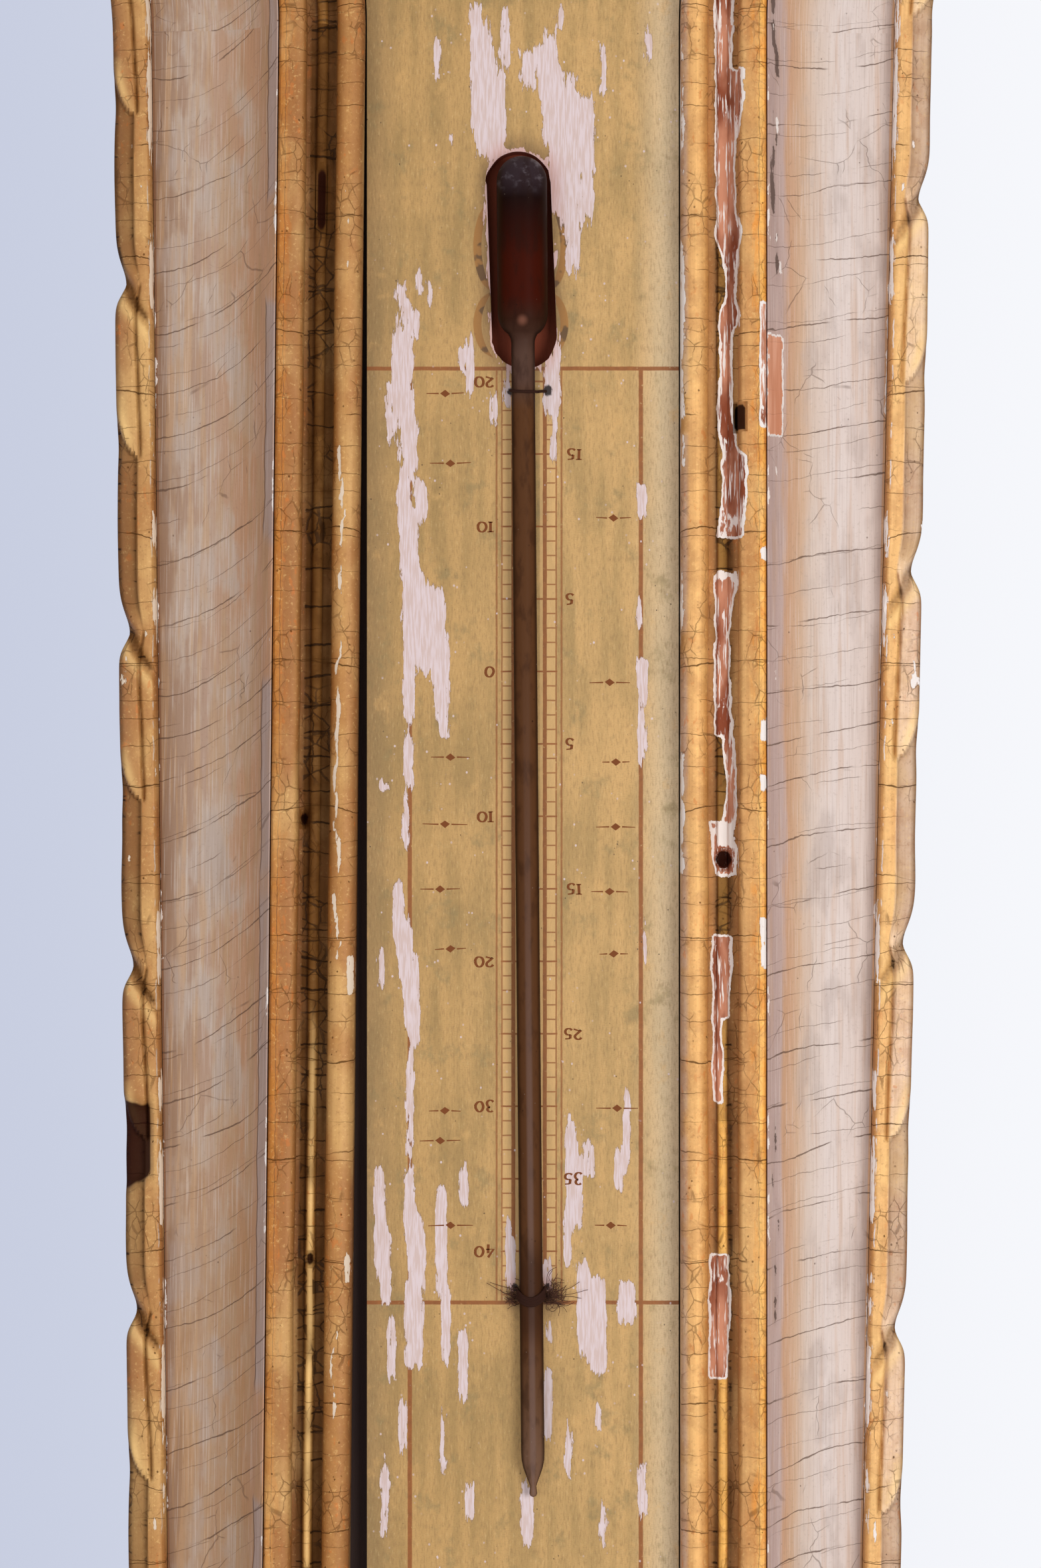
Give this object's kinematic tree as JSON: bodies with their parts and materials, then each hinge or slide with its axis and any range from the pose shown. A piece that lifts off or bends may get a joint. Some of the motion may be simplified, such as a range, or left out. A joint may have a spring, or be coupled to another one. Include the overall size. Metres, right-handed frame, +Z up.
{
  "type": "wheel barometer",
  "caption": "Tall wall barometer in a carved gilt frame with painted cove: thermometer in the neck, hinged glazed dial and siphon tube behind, shell crest above.",
  "frame": {"origin": "centre of the hanger's eye, in the plane of the wall (the eye's back face)", "axes": "+Z up along the neck, +Y from the viewer into the wall, +X to the right as seen from the front; the dial and the thermometer face -Y"},
  "size_m": [0.2742, 0.042, 0.9238],
  "materials": {
    "cream_paint": "cracked matt paint on gesso",
    "gilding": "worn water gilding on carved wood",
    "plain_wood": "aged bare pine",
    "scale_paint": "varnished paint with losses",
    "glass": "clear blown glass",
    "spirit": "dark tinted spirit",
    "mercury": "liquid metal",
    "brass": "aged lacquered brass",
    "blued_steel": "blued",
    "steel": "turned",
    "iron": "dark wrought iron",
    "thread": "waxed dark thread",
    "dial_paper": "aged printed paper on wood",
    "float_glass": "opal glass"
  },
  "bodies": {
    "case": {"back_plank": "plain_wood", "cove_left": "cream_paint", "cove_right": "cream_paint", "cove_lower_left": "cream_paint", "cove_lower_right": "cream_paint", "cove_top": "cream_paint", "sight_moulding_left": "gilding", "sight_moulding_right": "gilding", "sight_moulding_lower_left": "gilding", "sight_moulding_lower_right": "gilding", "sight_moulding_top": "gilding", "carved_edge_left": "gilding", "carved_edge_right": "gilding", "carved_edge_lower": "gilding", "carved_edge_top": "gilding", "crest_block": "gilding", "crest_shell": "gilding", "crest_button": "gilding", "crest_scroll_left": "gilding", "crest_scroll_right": "gilding", "crest_leaf_left": "gilding", "crest_leaf_right": "gilding", "foot_block": "gilding", "foot_leaf": "gilding", "scale_board": "scale_paint", "board_pins": "brass", "thermometer_glass": "glass", "thermometer_spirit": "spirit", "lower_tie": "thread", "upper_tie": "thread", "dial": "dial_paper", "dial_seat": "brass", "seat_screws": "brass", "hinge_leaf": "brass", "hinge_screws": "brass", "hinge_pin": "brass", "arbor_bush": "brass", "rear_bridge": "brass", "bridge_screws": "iron", "siphon_tube": "glass", "mercury": "mercury", "guide_tube": "glass", "tube_straps": "brass", "strap_screws": "iron", "hanger": "iron", "frame_screws": "iron"},
    "bezel": {"bezel": "brass", "dial_glass": "glass", "glass_bush": "brass"},
    "set_hand": {"set_hand": "brass", "set_knob": "brass"},
    "indicator": {"arbor": "steel", "pulley": "brass", "pulley_thread": "thread", "hand": "blued_steel"},
    "float": {"float_weight": "float_glass", "float_thread": "thread"},
    "counterweight": {"counterweight": "float_glass", "counterweight_thread": "thread"}
  },
  "joints": [
    {"name": "indicator_turn", "type": "hinge", "parent": "case", "child": "indicator", "pos_m": [0, -0.0066, -0.748], "axis": [0, -1, 0], "range_deg": [-165, 165]},
    {"name": "float_slide", "type": "slide", "parent": "case", "child": "float", "axis": [0, 0, 1], "range_m": [-0.0188, 0.0188], "deforming": ["float_thread", "mercury"]},
    {"name": "counterweight_slide", "type": "slide", "parent": "case", "child": "counterweight", "axis": [0, 0, 1], "range_m": [-0.0188, 0.0188], "deforming": ["counterweight_thread"]},
    {"name": "bezel_swing", "type": "hinge", "parent": "case", "child": "bezel", "pos_m": [-0.0864, -0.0302, -0.748], "axis": [0, 0, -1], "range_deg": [0, 120]},
    {"name": "set_hand_turn", "type": "hinge", "parent": "bezel", "child": "set_hand", "pos_m": [0, -0.025, -0.748], "axis": [0, -1, 0], "continuous": true}
  ],
  "couplings": [
    {"joint": "float_slide", "follows": "indicator_turn", "m_per_rad": 0.0065},
    {"joint": "counterweight_slide", "follows": "indicator_turn", "m_per_rad": -0.0065}
  ]
}
